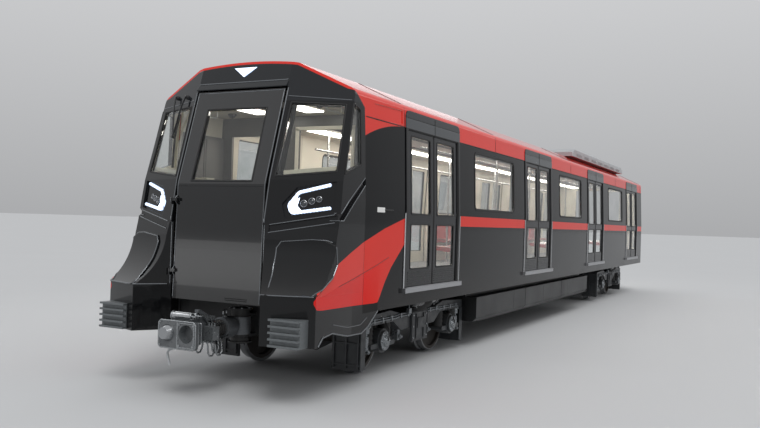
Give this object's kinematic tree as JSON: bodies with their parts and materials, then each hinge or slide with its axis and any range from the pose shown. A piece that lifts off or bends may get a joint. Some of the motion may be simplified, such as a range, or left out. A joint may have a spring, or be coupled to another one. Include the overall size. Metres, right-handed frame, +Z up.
{
  "type": "metro car",
  "caption": "End car of a metro train with a raked driving cab, sliding passenger doors, two motor bogies, an automatic coupler and a rear gangway.",
  "frame": {"origin": "middle of the overall box at floor level, under the wheel flanges", "axes": "+X forwards to the cab, +Y to the car's left, +Z up"},
  "size_m": [20.5, 2.9, 3.8698],
  "materials": {
    "black_paint": "gloss",
    "red_paint": "gloss",
    "black_gloss": "gloss",
    "grey_paint": "satin",
    "glass": "clear",
    "bare_aluminium": "satin",
    "rubber": "matte",
    "grey_steel": "satin",
    "dark_steel": "satin",
    "cast_steel": "rough",
    "lamp_lens": "clear",
    "bogie_paint": "satin",
    "wheel_steel": "turned",
    "polished_steel": "polished",
    "cream_plastic": "satin",
    "grey_plastic": "satin",
    "seat_plastic": "satin",
    "seat_fabric": "woven"
  },
  "bodies": {
    "carbody": {"side_wall_left": "black_paint", "side_wall_right": "black_paint", "roof": "red_paint", "rear_end_wall": "black_paint", "portal_frames": "black_paint", "door_leaves": "black_paint", "door_glass": "glass", "door_thresholds": "bare_aluminium", "side_window_frames": "rubber", "side_window_glass": "glass", "front_mask": "black_gloss", "windscreens": "glass", "quarter_glass": "glass", "front_skirts": "black_gloss", "anti_climbers": "grey_steel", "front_hinge_pins": "grey_steel", "kingpins": "cast_steel", "jacking_pads": "dark_steel", "headlamps": "lamp_lens", "marker_lamp": "lamp_lens", "floor": "dark_steel", "coupler_brackets": "dark_steel", "roof_unit": "grey_paint", "gangway_bellows": "rubber", "gangway_frame": "bare_aluminium", "equipment_cases": "dark_steel", "ceiling": "cream_plastic", "ceiling_lights": "lamp_lens", "cab_partition": "grey_plastic", "cab_desk": "grey_plastic", "cab_seat": "seat_fabric", "bench_seats": "seat_plastic", "grab_poles": "polished_steel"},
    "front_door": {"front_door": "black_gloss", "front_door_glass": "glass"},
    "front_coupler": {"coupler_shank": "cast_steel", "coupler_head": "cast_steel"},
    "rear_coupler": {"rear_drawbar": "cast_steel"},
    "bogie_front": {"bogie_frame_front": "bogie_paint", "bogie_springs_front": "rubber", "axle_boxes_front": "bogie_paint", "motors_front": "cast_steel", "brakes_front": "cast_steel"},
    "axle_front_leading": {"wheelset_front_leading": "wheel_steel"},
    "axle_front_trailing": {"wheelset_front_trailing": "wheel_steel"},
    "bogie_rear": {"bogie_frame_rear": "bogie_paint", "bogie_springs_rear": "rubber", "axle_boxes_rear": "bogie_paint", "motors_rear": "cast_steel", "brakes_rear": "cast_steel"},
    "axle_rear_leading": {"wheelset_rear_leading": "wheel_steel"},
    "axle_rear_trailing": {"wheelset_rear_trailing": "wheel_steel"}
  },
  "joints": [
    {"name": "front_door_hinge", "type": "hinge", "parent": "carbody", "child": "front_door", "pos_m": [9.63, -0.63, 1.3], "axis": [0, 0, -1], "range_deg": [0, 90]},
    {"name": "front_coupler_swing", "type": "hinge", "parent": "carbody", "child": "front_coupler", "pos_m": [9.115, 0, 0.69], "axis": [0, 0, 1], "range_deg": [-20, 20]},
    {"name": "rear_coupler_swing", "type": "hinge", "parent": "carbody", "child": "rear_coupler", "pos_m": [-9.15, 0, 0.69], "axis": [0, 0, 1], "range_deg": [-12, 12]},
    {"name": "bogie_front_turn", "type": "hinge", "parent": "carbody", "child": "bogie_front", "pos_m": [6.585, 0, 0.6], "axis": [0, 0, 1], "range_deg": [-4, 4]},
    {"name": "axle_front_leading_roll", "type": "hinge", "parent": "bogie_front", "child": "axle_front_leading", "pos_m": [7.685, 0, 0.448], "axis": [0, 1, 0], "continuous": true},
    {"name": "axle_front_trailing_roll", "type": "hinge", "parent": "bogie_front", "child": "axle_front_trailing", "pos_m": [5.485, 0, 0.448], "axis": [0, 1, 0], "continuous": true},
    {"name": "bogie_rear_turn", "type": "hinge", "parent": "carbody", "child": "bogie_rear", "pos_m": [-6.415, 0, 0.6], "axis": [0, 0, 1], "range_deg": [-4, 4]},
    {"name": "axle_rear_leading_roll", "type": "hinge", "parent": "bogie_rear", "child": "axle_rear_leading", "pos_m": [-5.315, 0, 0.448], "axis": [0, 1, 0], "continuous": true},
    {"name": "axle_rear_trailing_roll", "type": "hinge", "parent": "bogie_rear", "child": "axle_rear_trailing", "pos_m": [-7.515, 0, 0.448], "axis": [0, 1, 0], "continuous": true}
  ]
}
